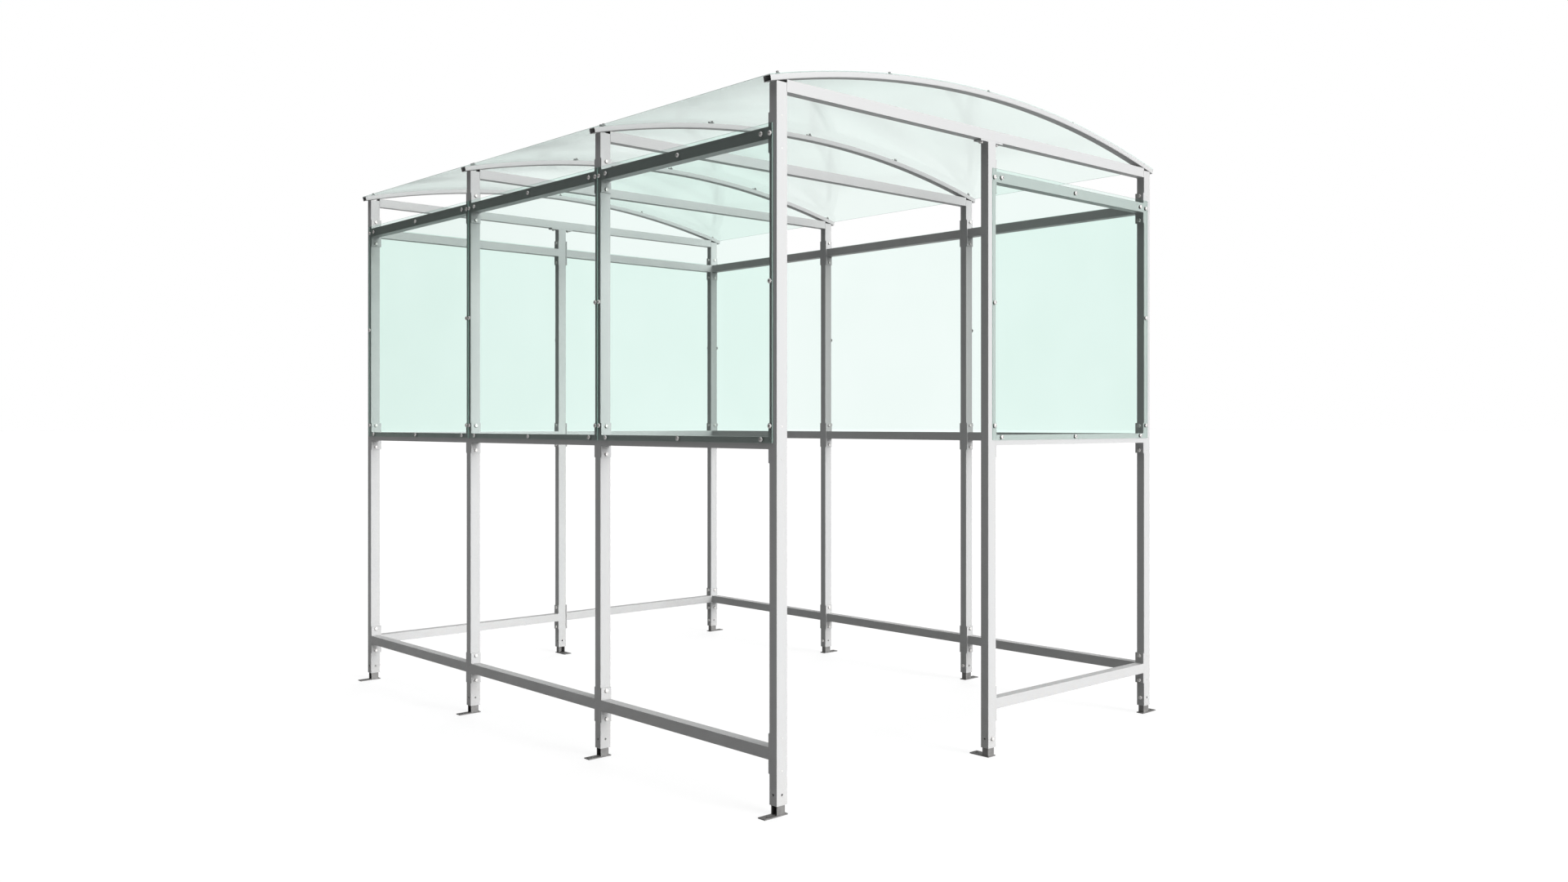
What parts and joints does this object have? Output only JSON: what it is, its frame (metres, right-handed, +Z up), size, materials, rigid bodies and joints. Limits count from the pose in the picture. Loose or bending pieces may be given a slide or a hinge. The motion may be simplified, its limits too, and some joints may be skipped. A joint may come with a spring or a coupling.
{
  "type": "open-front shelter",
  "caption": "Bolted steel shelter with an arched clear roof, clear upper wall panels, an open doorway in one gable and levelling feet.",
  "frame": {"origin": "on the ground, in the middle of the footprint", "axes": "+Z up; Y along the length, with the doorway gable at -Y; X across the gables"},
  "size_m": [2.301, 3.0086, 2.5153],
  "materials": {
    "painted_steel": "light grey satin powder coat over steel tube",
    "bare_steel": "dull uncoated steel",
    "wall_sheet": "clear plastic sheet with a pale green tint",
    "roof_sheet": "clear curved plastic sheet, almost colourless"
  },
  "bodies": {
    "frame": {"back_panel_left": "wall_sheet", "back_panel_right": "wall_sheet", "back_post": "painted_steel", "back_rail_left_lower": "painted_steel", "back_rail_left_middle": "painted_steel", "back_rail_left_upper": "painted_steel", "back_rail_right_lower": "painted_steel", "back_rail_right_middle": "painted_steel", "back_rail_right_upper": "painted_steel", "door_post": "painted_steel", "front_panel": "wall_sheet", "front_rail_lower": "painted_steel", "front_rail_middle": "painted_steel", "front_rail_upper": "painted_steel", "left_panel_1": "wall_sheet", "left_panel_2": "wall_sheet", "left_panel_3": "wall_sheet", "left_rail_1_lower": "painted_steel", "left_rail_1_middle": "painted_steel", "left_rail_1_upper": "painted_steel", "left_rail_2_lower": "painted_steel", "left_rail_2_middle": "painted_steel", "left_rail_2_upper": "painted_steel", "left_rail_3_lower": "painted_steel", "left_rail_3_middle": "painted_steel", "left_rail_3_upper": "painted_steel", "portal_1": "painted_steel", "portal_2": "painted_steel", "portal_3": "painted_steel", "portal_4": "painted_steel", "right_panel_1": "wall_sheet", "right_panel_2": "wall_sheet", "right_panel_3": "wall_sheet", "right_rail_1_lower": "painted_steel", "right_rail_1_middle": "painted_steel", "right_rail_1_upper": "painted_steel", "right_rail_2_lower": "painted_steel", "right_rail_2_middle": "painted_steel", "right_rail_2_upper": "painted_steel", "right_rail_3_lower": "painted_steel", "right_rail_3_middle": "painted_steel", "right_rail_3_upper": "painted_steel", "roof_rib_1": "painted_steel", "roof_rib_2": "painted_steel", "roof_rib_3": "painted_steel", "roof_rib_4": "painted_steel", "roof_sheet_1": "roof_sheet", "roof_sheet_2": "roof_sheet", "roof_sheet_3": "roof_sheet"},
    "foot_back": {"foot_back": "bare_steel"},
    "foot_door": {"foot_door": "bare_steel"},
    "foot_left_1": {"foot_left_1": "bare_steel"},
    "foot_left_2": {"foot_left_2": "bare_steel"},
    "foot_left_3": {"foot_left_3": "bare_steel"},
    "foot_left_4": {"foot_left_4": "bare_steel"},
    "foot_right_1": {"foot_right_1": "bare_steel"},
    "foot_right_2": {"foot_right_2": "bare_steel"},
    "foot_right_3": {"foot_right_3": "bare_steel"},
    "foot_right_4": {"foot_right_4": "bare_steel"}
  },
  "joints": [
    {"name": "foot_back_level", "type": "slide", "parent": "frame", "child": "foot_back", "axis": [0, 0, -1], "range_m": [0, 0.04]},
    {"name": "foot_door_level", "type": "slide", "parent": "frame", "child": "foot_door", "axis": [0, 0, -1], "range_m": [0, 0.04]},
    {"name": "foot_left_1_level", "type": "slide", "parent": "frame", "child": "foot_left_1", "axis": [0, 0, -1], "range_m": [0, 0.04]},
    {"name": "foot_left_2_level", "type": "slide", "parent": "frame", "child": "foot_left_2", "axis": [0, 0, -1], "range_m": [0, 0.04]},
    {"name": "foot_left_3_level", "type": "slide", "parent": "frame", "child": "foot_left_3", "axis": [0, 0, -1], "range_m": [0, 0.04]},
    {"name": "foot_left_4_level", "type": "slide", "parent": "frame", "child": "foot_left_4", "axis": [0, 0, -1], "range_m": [0, 0.04]},
    {"name": "foot_right_1_level", "type": "slide", "parent": "frame", "child": "foot_right_1", "axis": [0, 0, -1], "range_m": [0, 0.04]},
    {"name": "foot_right_2_level", "type": "slide", "parent": "frame", "child": "foot_right_2", "axis": [0, 0, -1], "range_m": [0, 0.04]},
    {"name": "foot_right_3_level", "type": "slide", "parent": "frame", "child": "foot_right_3", "axis": [0, 0, -1], "range_m": [0, 0.04]},
    {"name": "foot_right_4_level", "type": "slide", "parent": "frame", "child": "foot_right_4", "axis": [0, 0, -1], "range_m": [0, 0.04]}
  ]
}
